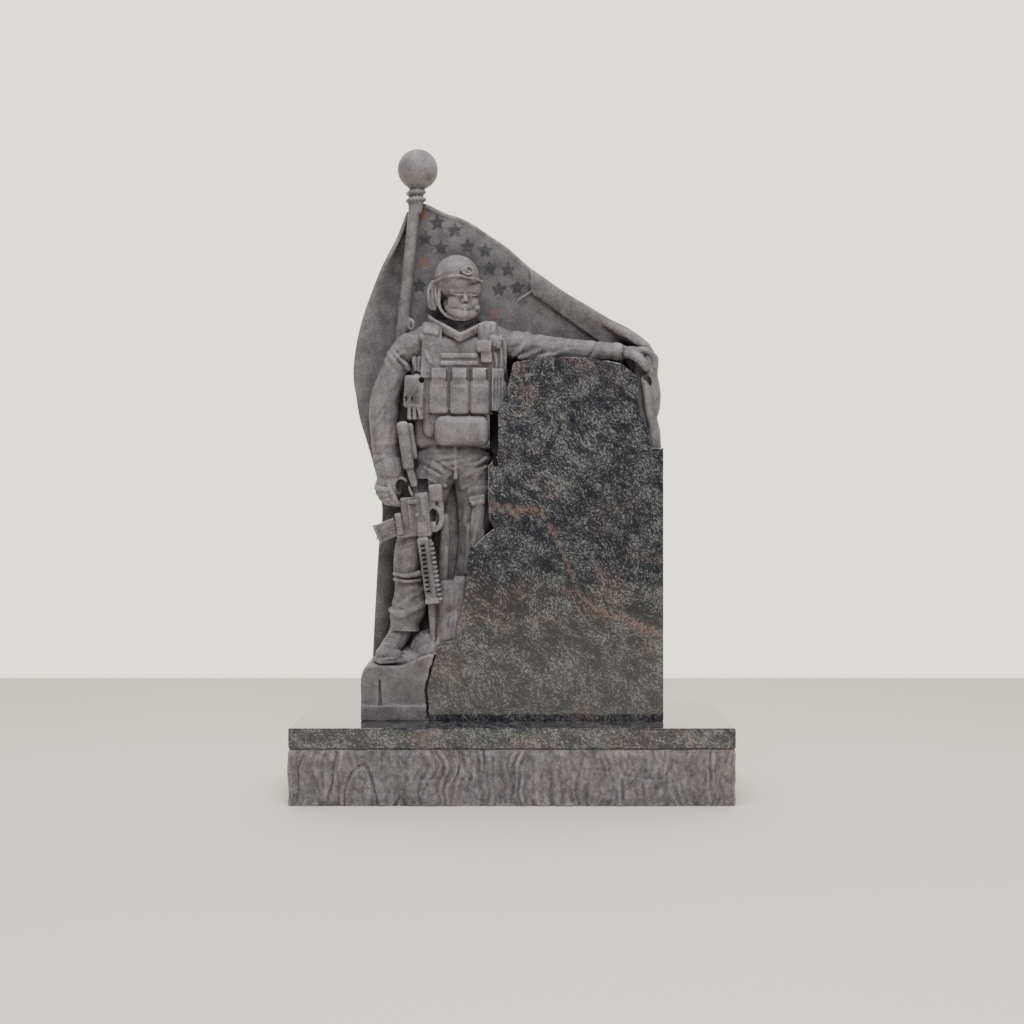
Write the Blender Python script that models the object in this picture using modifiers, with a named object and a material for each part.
"""Granite headstone: a carved die on a polished, rock-pitched base.

The die is one slab of granite. A soldier stands at its left on a rock plinth, rests the left arm on
a polished tablet and holds a rifle, in front of a flag that hangs from its pole and falls over the
tablet's corner. Metres, +Z up, the front faces -Y, and the origin is under the middle of the base.
"""

import math

import bmesh
import bpy
from mathutils import Matrix, Vector, noise

# Base: one block with a polished top and margin over rock-pitched sides
BASE_WIDTH = 1.168
BASE_DEPTH = 0.4064
BASE_HEIGHT = 0.2032
MARGIN_HEIGHT = 0.0535
MARGIN_ARRIS = 0.004
GROOVE_HEIGHT = 0.003
GROOVE_DEPTH = 0.004
PITCH_RELIEF = 0.005
PITCH_GRAIN = 0.055
PITCH_COLUMN = 0.055

# Die: one slab, standing on the base with a hairline joint
SEAT_GAP = 0.0003
DIE_WIDTH = 0.8128
DIE_DEPTH = 0.2032
TABLET_HEIGHT = 0.9772
TABLET_STEP_HEIGHT = 0.7325
TABLET_STEP_WIDTH = 0.0324
PLINTH_HEIGHT = 0.1515
PLINTH_WIDTH = 0.186
PLINTH_ROUND = 0.035
MOUND_START = 0.05
MOUND_LIP = 0.02
LEDGE_HEIGHT = 0.041
LEDGE_RELIEF = 0.004
CRACK_WIDTH = 0.008
CRACK_DEPTH = 0.026
CRACK_DRIFT = 0.006
CRACK_TIP = 0.004
MARK_INSET = 0.0198
MARK_WIDTH = 0.008
MARK_TIP = 0.006

# The flagpole and its ball
POLE_RADIUS = 0.0165
BALL_RADIUS = 0.0552
COLLAR_RELIEF = 0.008

# The flag's cloth
FLAG_THICKNESS = 0.05
FOLD_DEPTH = 0.009

# The figure is sized so that its arm lies on the tablet: that arm is at this share of its height
ARM_REST_SHARE = 0.7432
FIGURE_HEIGHT = (TABLET_HEIGHT - PLINTH_HEIGHT) / ARM_REST_SHARE

SEAT_LEVEL = BASE_HEIGHT + SEAT_GAP
FOOT_LEVEL = SEAT_LEVEL + PLINTH_HEIGHT
FRONT = -DIE_DEPTH / 2
BACK = DIE_DEPTH / 2
LEFT = -DIE_WIDTH / 2
RIGHT = DIE_WIDTH / 2

# The tablet's broken left edge and its top, as shares of the tablet's height, from the foot up
TABLET_EDGE = [
    (-0.229, 0.0), (-0.233, 0.085), (-0.220, 0.145), (-0.203, 0.210), (-0.154, 0.225),
    (-0.151, 0.266), (-0.125, 0.399), (-0.120, 0.454), (-0.104, 0.479), (-0.049, 0.528),
    (-0.063, 0.553), (-0.066, 0.700), (-0.040, 0.728), (-0.043, 0.835), (-0.003, 0.951),
    (0.018, 0.987), (0.080, 0.996), (0.140, 1.0), (0.263, 0.989), (0.299, 0.982), (0.349, 0.942),
    (0.346, 0.889), (0.354, 0.840), (0.370, 0.808),
]

# The share of the die's facets that is kept once it is one stone
THINNING = 0.85

for old in list(bpy.data.objects):
    bpy.data.objects.remove(old)


def new_collection(name):
    collection = bpy.data.collections.new(name)
    bpy.context.scene.collection.children.link(collection)
    return collection


MODEL = new_collection("granite_headstone")
CARVING = new_collection("carving")
CUTTERS = new_collection("cutters")


def granite(name, colour, roughness):
    """A granite finish: polished stone is dark and glossy, steeled stone is pale and matt."""
    material = bpy.data.materials.new(name)
    material.use_nodes = True
    shader = material.node_tree.nodes["Principled BSDF"]
    shader.inputs["Base Color"].default_value = (*colour, 1.0)
    shader.inputs["Roughness"].default_value = roughness
    shader.inputs["Metallic"].default_value = 0.0
    return material


def keep(obj, collection):
    """Move an object into its collection, and hide what only shapes the stone."""
    for owner in list(obj.users_collection):
        owner.objects.unlink(obj)
    collection.objects.link(obj)
    if collection is not MODEL:
        obj.hide_render = True
        obj.display_type = "WIRE"
    return obj


def as_mesh(curve, collection):
    """Turn a curve object into a closed mesh object in the same place."""
    bpy.context.view_layer.update()
    shape = curve.evaluated_get(bpy.context.evaluated_depsgraph_get())
    mesh = bpy.data.meshes.new_from_object(shape)
    bm = bmesh.new()
    bm.from_mesh(mesh)
    bmesh.ops.remove_doubles(bm, verts=bm.verts, dist=0.00001)
    bm.to_mesh(mesh)
    bm.free()
    obj = bpy.data.objects.new(curve.name + "_stone", mesh)
    obj.matrix_world = curve.matrix_world
    bpy.data.objects.remove(curve)
    return keep(obj, collection)


def at(x, y, z):
    """A place in the carving, in shares of the figure's height, from the plinth's top at mid-slab."""
    return Vector((x, y, z)) * FIGURE_HEIGHT + Vector((0, 0, FOOT_LEVEL))


def limb(name, stations, sides=10, collection=CARVING):
    """A rounded limb, fold or bar through stations (x, y, z, radius), in shares of the figure."""
    curve = bpy.data.curves.new(name, "CURVE")
    curve.dimensions = "3D"
    curve.use_fill_caps = True
    curve.bevel_resolution = (sides - 4) // 2
    first = stations[0][3]
    curve.bevel_depth = first * FIGURE_HEIGHT
    spline = curve.splines.new("POLY")
    spline.points.add(len(stations) - 1)
    for point, (x, y, z, radius) in zip(spline.points, stations):
        point.co = (*at(x, y, z), 1.0)
        point.radius = radius / first
    obj = bpy.data.objects.new(name, curve)
    bpy.context.scene.collection.objects.link(obj)
    return as_mesh(obj, collection)


def plate(name, outline, front, back, collection=CARVING):
    """A flat outline of (x, z) points, in metres above the seat, standing from front to back."""
    curve = bpy.data.curves.new(name, "CURVE")
    curve.dimensions = "2D"
    curve.fill_mode = "BOTH"
    curve.extrude = (back - front) / 2
    spline = curve.splines.new("POLY")
    spline.points.add(len(outline) - 1)
    spline.use_cyclic_u = True
    for point, (x, z) in zip(spline.points, outline):
        point.co = (x, z, 0.0, 1.0)
    obj = bpy.data.objects.new(name, curve)
    obj.rotation_euler.x = math.radians(90)
    obj.location = (0, (front + back) / 2, SEAT_LEVEL)
    bpy.context.scene.collection.objects.link(obj)
    return as_mesh(obj, collection)


def placed(obj, centre, size, lean, turn, tip, collection):
    """Size a primitive in its mesh, in shares of the figure, then set it in the carving."""
    obj.data.transform(Matrix.Diagonal((*(Vector(size) * FIGURE_HEIGHT), 1.0)))
    obj.location = at(*centre)
    obj.rotation_euler = [math.radians(angle) for angle in (tip, lean, turn)]
    return keep(obj, collection)


def block(name, centre, size, lean=0, turn=0, tip=0, edge=0.006, steps=1, collection=CARVING):
    """A block with eased edges: lean is in the picture plane, turn about Z, tip about X."""
    bpy.ops.mesh.primitive_cube_add(size=1)
    obj = bpy.context.object
    obj.name = name
    bevel = obj.modifiers.new("eased_edges", "BEVEL")
    bevel.width = edge * FIGURE_HEIGHT
    bevel.segments = steps
    return placed(obj, centre, size, lean, turn, tip, collection)


def ellipsoid(name, centre, radii, lean=0, turn=0, tip=0, segments=14, rings=8):
    bpy.ops.mesh.primitive_uv_sphere_add(radius=1, segments=segments, ring_count=rings)
    obj = bpy.context.object
    obj.name = name
    return placed(obj, centre, radii, lean, turn, tip, CARVING)


def rock(name, centre, radii, seed, steps=2):
    """A broken lump of stone: a sphere of flat facets, pushed in and out."""
    bpy.ops.mesh.primitive_ico_sphere_add(radius=1, subdivisions=steps)
    obj = bpy.context.object
    obj.name = name
    for vertex in obj.data.vertices:
        vertex.co *= 1 + 0.16 * noise.noise(vertex.co * 1.7 + Vector((seed, 0, 0)))
    return placed(obj, centre, radii, 0, 0, 0, CARVING)


def between(stations, share):
    """The point at a share of the way along a line of stations."""
    place = share * (len(stations) - 1)
    index = min(int(place), len(stations) - 2)
    return Vector(stations[index]).lerp(Vector(stations[index + 1]), place - index)


def cloth(name, first_edge, second_edge, columns, rows, ripple):
    """Hanging cloth between two edges, rippled in depth, with the flag's thickness behind it."""
    bpy.ops.mesh.primitive_grid_add(x_subdivisions=columns, y_subdivisions=rows, size=1)
    obj = bpy.context.object
    obj.name = name
    bm = bmesh.new()
    bm.from_mesh(obj.data)
    for vertex in bm.verts:
        along = vertex.co.x + 0.5
        down = 0.5 - vertex.co.y
        vertex.co = at(*between(first_edge, along).lerp(between(second_edge, along), down))
        vertex.co.y += FOLD_DEPTH * ripple(along, down)
    behind = bmesh.ops.extrude_face_region(bm, geom=bm.faces[:], use_keep_orig=True)["geom"]
    moved = [part for part in behind if isinstance(part, bmesh.types.BMVert)]
    bmesh.ops.translate(bm, verts=moved, vec=(0, FLAG_THICKNESS, 0))
    bmesh.ops.recalc_face_normals(bm, faces=bm.faces[:])
    bm.to_mesh(obj.data)
    bm.free()
    return keep(obj, CARVING)


def make_base():
    """One block: rows of a box, with noise on the rock-pitched rows and a margin that stays flat."""
    margin_foot = BASE_HEIGHT - MARGIN_HEIGHT
    groove_foot = margin_foot - GROOVE_HEIGHT
    rock_rows = 5
    levels = [groove_foot * step / rock_rows for step in range(rock_rows + 1)]
    insets = [PITCH_RELIEF * 0.6] + [0.0] * (rock_rows - 1) + [PITCH_RELIEF * 0.5]
    levels += [groove_foot + GROOVE_HEIGHT * 0.3, margin_foot]
    insets += [GROOVE_DEPTH + PITCH_RELIEF, GROOVE_DEPTH]
    levels += [margin_foot + GROOVE_HEIGHT * 0.3, BASE_HEIGHT - MARGIN_ARRIS, BASE_HEIGHT]
    insets += [0.0, 0.0, MARGIN_ARRIS]
    cuts = (round(BASE_WIDTH / PITCH_COLUMN), round(BASE_DEPTH / PITCH_COLUMN), len(levels) - 2)

    bm = bmesh.new()
    bmesh.ops.create_cube(bm, size=1)
    for axis, count in enumerate(cuts):
        along = [e for e in bm.edges if abs((e.verts[0].co - e.verts[1].co)[axis]) > 0.5]
        bmesh.ops.subdivide_edges(bm, edges=along, cuts=count, use_grid_fill=True)
    for side in (-1, 1):
        flat = [f for f in bm.faces if all(v.co.z * side > 0.499 for v in f.verts)]
        bmesh.ops.dissolve_faces(bm, faces=flat, use_verts=False)
    for vertex in bm.verts:
        row = round((vertex.co.z + 0.5) * (len(levels) - 1))
        x = vertex.co.x * BASE_WIDTH
        y = vertex.co.y * BASE_DEPTH
        z = levels[row]
        half_width = BASE_WIDTH / 2 - insets[row]
        half_depth = BASE_DEPTH / 2 - insets[row]
        if 0 < row <= rock_rows:
            place = Vector((x, y, z * 0.6)) / PITCH_GRAIN
            push = PITCH_RELIEF * noise.noise(place)
            half_width += push
            half_depth += push
        on_end = abs(vertex.co.x) > 0.499
        on_face = abs(vertex.co.y) > 0.499
        x = math.copysign(half_width, x) if on_end else max(-half_width, min(half_width, x))
        y = math.copysign(half_depth, y) if on_face else max(-half_depth, min(half_depth, y))
        vertex.co = (x, y, z)
    mesh = bpy.data.meshes.new("base")
    bm.to_mesh(mesh)
    bm.free()
    base = bpy.data.objects.new("base", mesh)
    base.data.materials.append(granite("base_granite", (0.09, 0.085, 0.09), 0.35))
    MODEL.objects.link(base)


def carve_rock():
    """The plinth under the boot, its proud ledge, and the broken mound in front of the far leg."""
    right = LEFT + PLINTH_WIDTH
    top = PLINTH_HEIGHT
    crown = [(LEFT, 0), (right, 0), (right + MOUND_LIP, top + MOUND_LIP)]
    crown += [(right - MOUND_LIP / 2, top + MOUND_LIP / 2), (right - MOUND_START, top)]
    crown += [(LEFT + PLINTH_ROUND, top), (LEFT + PLINTH_ROUND / 3, top - PLINTH_ROUND / 4)]
    crown += [(LEFT, top - PLINTH_ROUND)]
    plate("plinth_block", crown, FRONT + LEDGE_RELIEF, BACK)
    ledge = [(LEFT, 0), (right, 0), (right, LEDGE_HEIGHT), (LEFT, LEDGE_HEIGHT)]
    plate("plinth_ledge", ledge, FRONT, BACK)
    rock("mound_foot", (-0.185, -0.022, 0.030), (0.060, 0.060, 0.055), 1)
    rock("mound_side", (-0.130, -0.020, 0.060), (0.060, 0.058, 0.080), 2)
    rock("mound_top", (-0.132, -0.012, 0.130), (0.040, 0.050, 0.068), 3)
    rock("heel_rock", (-0.225, 0.020, 0.000), (0.075, 0.055, 0.030), 4)


def carve_flag():
    """The flagpole with its ball and collar, and the flag in two falls of cloth."""
    pole = [(-0.2405, 0.0, 1.150), (-0.274, 0.020, 0.815), (-0.286, 0.028, 0.690)]
    radius = POLE_RADIUS / FIGURE_HEIGHT
    collar = COLLAR_RELIEF / FIGURE_HEIGHT
    limb("pole", [(x, y, z, radius) for x, y, z in pole], sides=12)
    limb("pole_neck", [(-0.241, 0, 1.122, radius * 1.2), (-0.2375, 0, 1.180, radius * 1.2)], sides=12)
    for height in (1.137, 1.155):
        ellipsoid("pole_ring", (-0.2395, 0, height), (radius + collar, radius + collar, 0.009), rings=6)
    ball = BALL_RADIUS / FIGURE_HEIGHT
    ellipsoid("pole_ball", (-0.234, 0, 1.217), (ball, ball, ball), segments=20, rings=12)

    hem = [(-0.235, 0.014, 1.140), (-0.095, 0.018, 1.081), (-0.009, 0.022, 1.024), (0.060, 0.022, 0.966)]
    hem += [(0.133, 0.018, 0.916), (0.242, 0.010, 0.849), (0.312, 0.000, 0.808), (0.352, -0.012, 0.772)]
    tuck = [(-0.272, 0.026, 0.720), (-0.180, 0.040, 0.715), (-0.060, 0.042, 0.710), (0.020, 0.042, 0.705)]
    tuck += [(0.110, 0.038, 0.700), (0.210, 0.030, 0.695), (0.290, 0.018, 0.690), (0.350, 0.000, 0.690)]
    cloth("flag_fly", hem, tuck, 14, 6, lambda along, down: math.sin(9.0 * down + 3.0 * along))

    edge = [(-0.262, 0.020, 1.115), (-0.327, 0.020, 0.976), (-0.377, 0.022, 0.845), (-0.398, 0.022, 0.720)]
    edge += [(-0.388, 0.022, 0.630), (-0.357, 0.024, 0.510), (-0.330, 0.026, 0.400), (-0.334, 0.028, 0.290)]
    edge += [(-0.341, 0.028, 0.170), (-0.351, 0.028, -0.010)]
    inner = [(-0.225, 0.016, 1.115), (-0.170, 0.030, 0.976), (-0.080, 0.036, 0.845), (0.000, 0.038, 0.720)]
    inner += [(0.010, 0.038, 0.630), (0.010, 0.038, 0.510), (0.000, 0.038, 0.400), (-0.010, 0.038, 0.290)]
    inner += [(-0.060, 0.038, 0.170), (-0.120, 0.038, -0.010)]
    cloth("flag_fall", edge, inner, 12, 9, lambda along, down: -math.sin(4.5 * down))

    fall = [(0.332, 0.750), (0.338, 0.690), (0.343, 0.625), (0.341, 0.590), (0.344, 0.526)]
    block("flag_corner_core", (0.338, -0.010, 0.664), (0.036, 0.100, 0.200), lean=-3, edge=0.010)
    for depth, swell in ((-0.052, 0.9), (-0.012, 1.1), (0.028, 1.0)):
        widths = (0.026, 0.022, 0.021, 0.017, 0.020)
        folds = [(x, depth, z, swell * width) for (x, z), width in zip(fall, widths)]
        limb("flag_corner", folds, sides=8)


def carve_head():
    """A helmet with goggles and an ear cup over a plain face, turned a little to the right."""
    ellipsoid("helmet", (-0.137, -0.010, 0.944), (0.057, 0.070, 0.060), segments=16, rings=10)
    ellipsoid("face", (-0.126, -0.016, 0.888), (0.040, 0.055, 0.052), lean=-4)
    limb("brim", [(-0.192, -0.020, 0.926, 0.005), (-0.170, -0.066, 0.928, 0.006),
                  (-0.130, -0.082, 0.931, 0.006), (-0.090, -0.068, 0.929, 0.006),
                  (-0.076, -0.030, 0.927, 0.005)], sides=6)
    block("goggles", (-0.124, -0.058, 0.912), (0.082, 0.040, 0.030), turn=8, edge=0.010)
    block("helmet_mount", (-0.112, -0.076, 0.951), (0.028, 0.014, 0.022), turn=12, tip=-25)
    block("ear_cup", (-0.190, -0.016, 0.897), (0.020, 0.042, 0.068), turn=-8, edge=0.009)
    strap = [(-0.182, -0.030, 0.905, 0.007), (-0.172, -0.036, 0.868, 0.007), (-0.150, -0.048, 0.845, 0.007)]
    strap += [(-0.112, -0.050, 0.838, 0.007), (-0.088, -0.036, 0.856, 0.007)]
    limb("chin_strap", strap, sides=6)
    limb("neck", [(-0.130, 0.000, 0.780, 0.050), (-0.130, -0.004, 0.860, 0.042)])
    collar = [(-0.198, -0.010, 0.846, 0.009), (-0.172, -0.046, 0.826, 0.010), (-0.130, -0.066, 0.808, 0.011)]
    collar += [(-0.088, -0.050, 0.822, 0.010), (-0.066, -0.010, 0.840, 0.009)]
    limb("collar", collar, sides=8)


def carve_torso():
    """The chest and hips, and the plate carrier with its straps, webbing and radio."""
    ellipsoid("chest", (-0.131, 0.000, 0.700), (0.122, 0.062, 0.150))
    ellipsoid("waist", (-0.145, 0.000, 0.545), (0.098, 0.056, 0.090))
    limb("right_shoulder", [(-0.140, 0.000, 0.800, 0.050), (-0.258, 0.000, 0.772, 0.038)])
    limb("left_shoulder", [(-0.120, 0.000, 0.800, 0.050), (0.004, -0.004, 0.774, 0.034)])
    block("plate_carrier", (-0.130, -0.030, 0.672), (0.196, 0.090, 0.250), edge=0.020)
    block("cummerbund", (-0.136, -0.014, 0.568), (0.200, 0.100, 0.082), edge=0.018)
    for x, lean in ((-0.198, 4), (-0.058, -4)):
        block("shoulder_strap", (x, -0.040, 0.775), (0.050, 0.080, 0.095), lean=lean, tip=-8, edge=0.010)
    block("right_pad", (-0.195, -0.052, 0.818), (0.036, 0.044, 0.026), lean=12)
    for height in (0.744, 0.727):
        block("webbing", (-0.125, -0.072, height), (0.092, 0.014, 0.011), edge=0.003)
    block("radio_pouch", (-0.066, -0.074, 0.769), (0.036, 0.030, 0.030), lean=4)
    block("radio_pocket", (-0.060, -0.072, 0.742), (0.027, 0.026, 0.026))
    block("cable_clip", (-0.041, -0.066, 0.781), (0.032, 0.028, 0.032), lean=12)
    limb("cable", [(-0.036, -0.062, 0.775, 0.005), (-0.030, -0.064, 0.745, 0.005),
                   (-0.034, -0.060, 0.712, 0.005)], sides=6)


def carve_pouches():
    """A row of four magazine pouches, the belly pouch under them and a holder at the side."""
    for number in range(4):
        x = -0.178 + 0.0487 * number
        y = -0.067 if number < 3 else -0.061
        block("magazine_pouch", (x, y, 0.661), (0.044, 0.040, 0.112), tip=-3, edge=0.008)
        block("pouch_flap", (x, y - 0.002, 0.697), (0.040, 0.042, 0.036), edge=0.005)
    block("pouch_tab", (-0.206, -0.062, 0.709), (0.034, 0.026, 0.014), edge=0.004)
    block("belly_pouch", (-0.123, -0.062, 0.565), (0.131, 0.050, 0.072), edge=0.020, steps=2)
    block("side_holder", (-0.238, -0.046, 0.652), (0.050, 0.046, 0.094), lean=3, edge=0.008)
    for x in (-0.252, -0.236, -0.222):
        block("holder_strap", (x, -0.058, 0.606), (0.010, 0.020, 0.034), edge=0.003)


def carve_arms():
    """The right arm hangs to the rifle's grip, and the left arm lies along the tablet's top."""
    right = [(-0.262, 0.000, 0.778, 0.034), (-0.284, 0.000, 0.744, 0.033), (-0.305, -0.002, 0.681, 0.036)]
    right += [(-0.318, -0.004, 0.640, 0.039), (-0.320, -0.010, 0.599, 0.037), (-0.318, -0.018, 0.557, 0.035)]
    right += [(-0.311, -0.028, 0.507, 0.033), (-0.300, -0.038, 0.464, 0.034)]
    limb("right_arm", right, sides=12)
    ellipsoid("right_hand", (-0.302, -0.050, 0.424), (0.036, 0.030, 0.046), lean=-10)
    for finger in range(4):
        top = 0.436 - 0.016 * finger
        knuckle = (-0.322 + 0.006 * finger, -0.064, top, 0.010)
        tip = (-0.284 + 0.003 * finger, -0.076, top - 0.012, 0.009)
        limb("right_finger", [knuckle, tip], sides=6)

    left = [(-0.010, -0.004, 0.778, 0.034), (0.052, -0.018, 0.778, 0.030), (0.099, -0.024, 0.771, 0.027)]
    left += [(0.155, -0.027, 0.765, 0.027), (0.212, -0.029, 0.760, 0.025), (0.268, -0.031, 0.757, 0.024)]
    limb("left_arm", left, sides=12)
    ellipsoid("left_hand", (0.300, -0.036, 0.757), (0.036, 0.032, 0.016), lean=10)
    for finger in range(4):
        y = -0.066 + 0.016 * finger
        knuckles = [(0.310, y, 0.762, 0.010), (0.338, y, 0.752, 0.009), (0.352, y, 0.732, 0.008)]
        limb("left_finger", knuckles, sides=6)
    limb("left_thumb", [(0.286, -0.064, 0.752, 0.011), (0.318, -0.078, 0.738, 0.009),
                        (0.326, -0.080, 0.714, 0.008)], sides=6)


def carve_legs():
    """Bloused trousers: the right leg forward on the plinth, the left leg behind the broken rock."""
    ellipsoid("hips", (-0.146, -0.004, 0.500), (0.094, 0.060, 0.064))
    right = [(-0.186, -0.008, 0.490, 0.052), (-0.206, -0.014, 0.400, 0.046), (-0.244, -0.026, 0.300, 0.040)]
    right += [(-0.256, -0.028, 0.250, 0.036), (-0.256, -0.022, 0.195, 0.034), (-0.254, -0.014, 0.150, 0.042)]
    right += [(-0.264, -0.014, 0.108, 0.044), (-0.272, -0.018, 0.064, 0.028)]
    limb("right_leg", right, sides=12)
    limb("knee_strap", [(-0.286, -0.044, 0.214, 0.007), (-0.256, -0.060, 0.210, 0.008),
                        (-0.222, -0.044, 0.216, 0.007)], sides=6)
    left = [(-0.100, -0.002, 0.490, 0.050), (-0.092, -0.004, 0.400, 0.046), (-0.098, -0.004, 0.290, 0.040)]
    left += [(-0.120, 0.000, 0.172, 0.036)]
    limb("left_leg", left, sides=12)
    block("holster", (-0.083, -0.052, 0.352), (0.026, 0.030, 0.100), lean=2)
    block("thigh_strap", (-0.086, -0.046, 0.402), (0.042, 0.030, 0.016), lean=-8)
    limb("trouser_fold", [(-0.158, -0.018, 0.330, 0.014), (-0.162, -0.022, 0.260, 0.016),
                          (-0.166, -0.018, 0.160, 0.018)], sides=8)
    for shift, foot in ((0.0, 0.010), (0.045, 0.080)):
        limb("leg_web", [(-0.150 + shift, 0.034, 0.480, 0.040), (-0.162 + shift, 0.034, 0.250, 0.044),
                         (-0.176 + shift, 0.036, foot, 0.048)], sides=8)


def carve_boot():
    ellipsoid("boot_toe", (-0.302, -0.056, 0.026), (0.036, 0.030, 0.026), lean=14, turn=20)
    limb("boot_shaft", [(-0.274, -0.020, 0.090, 0.026), (-0.286, -0.040, 0.030, 0.028)])
    block("boot_sole", (-0.296, -0.046, 0.004), (0.072, 0.066, 0.016), turn=20)


def carve_rifle():
    """The rifle hangs muzzle down along one leaning line, from the stock to the barrel."""
    lean = -8.6
    butt = Vector((-0.262, -0.070, 0.586))
    muzzle = Vector((-0.191, -0.070, 0.060))

    def along(share, aside=0.0, ahead=0.0):
        """A place beside the rifle's line: aside is to the viewer's right, ahead is to the front."""
        spot = butt.lerp(muzzle, share)
        return (spot.x + aside, spot.y - ahead, spot.z)

    block("stock", along(0.11), (0.028, 0.030, 0.110), lean=-4)
    block("buffer_tube", along(0.26, 0.002), (0.016, 0.018, 0.060), lean=lean - 14, edge=0.004)
    block("receiver", along(0.405, -0.004), (0.040, 0.026, 0.125), lean=lean, edge=0.004)
    block("charging_block", along(0.33, 0.010, 0.006), (0.014, 0.030, 0.058), lean=-2, edge=0.004)
    block("optic", along(0.36, 0.040), (0.032, 0.030, 0.068), lean=-4, edge=0.007)
    limb("guard_ring", [(*along(0.420, 0.020), 0.006), (*along(0.415, 0.046), 0.006),
                        (*along(0.460, 0.050), 0.006), (*along(0.490, 0.022), 0.006)], sides=6)
    block("grip", along(0.36, -0.036, -0.004), (0.026, 0.026, 0.060), lean=22, edge=0.006)
    block("magazine_well", along(0.475, -0.032), (0.024, 0.026, 0.056), lean=lean, edge=0.003)
    block("magazine", along(0.495, -0.070), (0.066, 0.022, 0.044), lean=-24, edge=0.004)
    block("handguard", along(0.690, 0.0), (0.030, 0.034, 0.160), lean=-7, edge=0.007)
    block("handguard_rail", along(0.690, 0.015, 0.004), (0.012, 0.018, 0.150), lean=-7, edge=0.003)
    limb("barrel", [(*along(0.78, -0.002), 0.010), (*along(0.86, 0.0), 0.009), (*along(1.0, 0.0), 0.006)],
         sides=8)


def make_cuts():
    """The crack between the plinth and the tablet, and the worked groove in the plinth's face."""
    top = PLINTH_HEIGHT * 1.15
    foot = TABLET_EDGE[0][0] * TABLET_HEIGHT
    bow = TABLET_EDGE[1][0] * TABLET_HEIGHT
    crack = [(foot - CRACK_WIDTH, LEDGE_HEIGHT * 0.2), (foot, LEDGE_HEIGHT * 0.2), (bow, top * 0.5)]
    crack += [(foot + CRACK_DRIFT + CRACK_TIP, top), (foot + CRACK_DRIFT, top), (bow - CRACK_WIDTH, top * 0.5)]
    plate("crack", crack, FRONT - CRACK_DEPTH, FRONT + CRACK_DEPTH, CUTTERS)
    mark = LEFT + MARK_INSET
    groove = [(mark, LEDGE_HEIGHT), (mark + MARK_WIDTH, LEDGE_HEIGHT)]
    groove += [(mark + MARK_TIP, PLINTH_HEIGHT * 0.7), (mark, PLINTH_HEIGHT * 0.7)]
    plate("groove", groove, FRONT - CRACK_DEPTH, FRONT + CRACK_DEPTH * 0.5, CUTTERS)


def make_die():
    """The tablet, with every carved form grown into it as one stone, then cut."""
    outline = [(x * TABLET_HEIGHT, z * TABLET_HEIGHT) for x, z in TABLET_EDGE]
    outline += [(RIGHT - TABLET_STEP_WIDTH, TABLET_STEP_HEIGHT), (RIGHT, TABLET_STEP_HEIGHT), (RIGHT, 0)]
    die = plate("die", outline, FRONT, BACK, MODEL)
    die.name = "die"
    for step in (carve_rock, carve_flag, carve_head, carve_torso, carve_pouches, carve_arms):
        step()
    for step in (carve_legs, carve_boot, carve_rifle, make_cuts):
        step()
    for collection, operation in ((CARVING, "UNION"), (CUTTERS, "DIFFERENCE")):
        boolean = die.modifiers.new(collection.name, "BOOLEAN")
        boolean.operand_type = "COLLECTION"
        boolean.collection = collection
        boolean.operation = operation
        boolean.solver = "MANIFOLD"
    thinning = die.modifiers.new("fewer_facets", "DECIMATE")
    thinning.ratio = THINNING
    die.data.materials.append(granite("die_granite", (0.20, 0.19, 0.19), 0.6))


make_base()
make_die()
